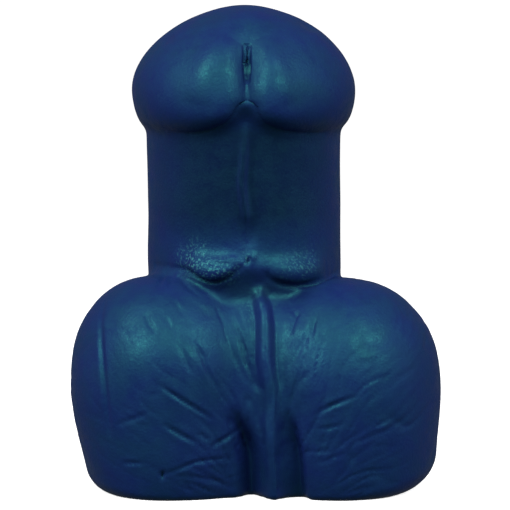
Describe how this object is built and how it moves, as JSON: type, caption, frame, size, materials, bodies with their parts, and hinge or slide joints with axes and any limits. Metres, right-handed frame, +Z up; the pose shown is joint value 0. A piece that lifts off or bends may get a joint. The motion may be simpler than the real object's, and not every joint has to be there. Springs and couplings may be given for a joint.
{
  "type": "anatomical squeeze toy",
  "caption": "Soft silicone adult novelty squeeze toy moulded as male anatomy: a lobed base on a flat foot, with a shaft and head that bend and spring back.",
  "frame": {"origin": "middle of the object's plan, on the surface that its flat foot stands on", "axes": "+Z up from the foot to the head, -Y towards the front that carries the seam and the slit, +X to the right seen from the front"},
  "size_m": [0.074, 0.051, 0.096],
  "materials": {
    "pearl_silicone": "satin cast silicone, dark blue with a green-blue pearl pigment"
  },
  "bodies": {
    "base": {"lobed_base": "pearl_silicone"},
    "shaft": {"shaft": "pearl_silicone"},
    "head": {"head": "pearl_silicone"}
  },
  "joints": [
    {"name": "shaft_bend", "type": "hinge", "parent": "base", "child": "shaft", "pos_m": [-0.0022, 0.00525, 0.047], "axis": [1, 0, 0], "range_deg": [-35, 35], "stiffness_Nm_per_rad": 0.5},
    {"name": "head_bend", "type": "hinge", "parent": "shaft", "child": "head", "pos_m": [-0.0022, 0.00426, 0.0668], "axis": [0, 1, 0], "range_deg": [-30, 30], "stiffness_Nm_per_rad": 0.5}
  ]
}
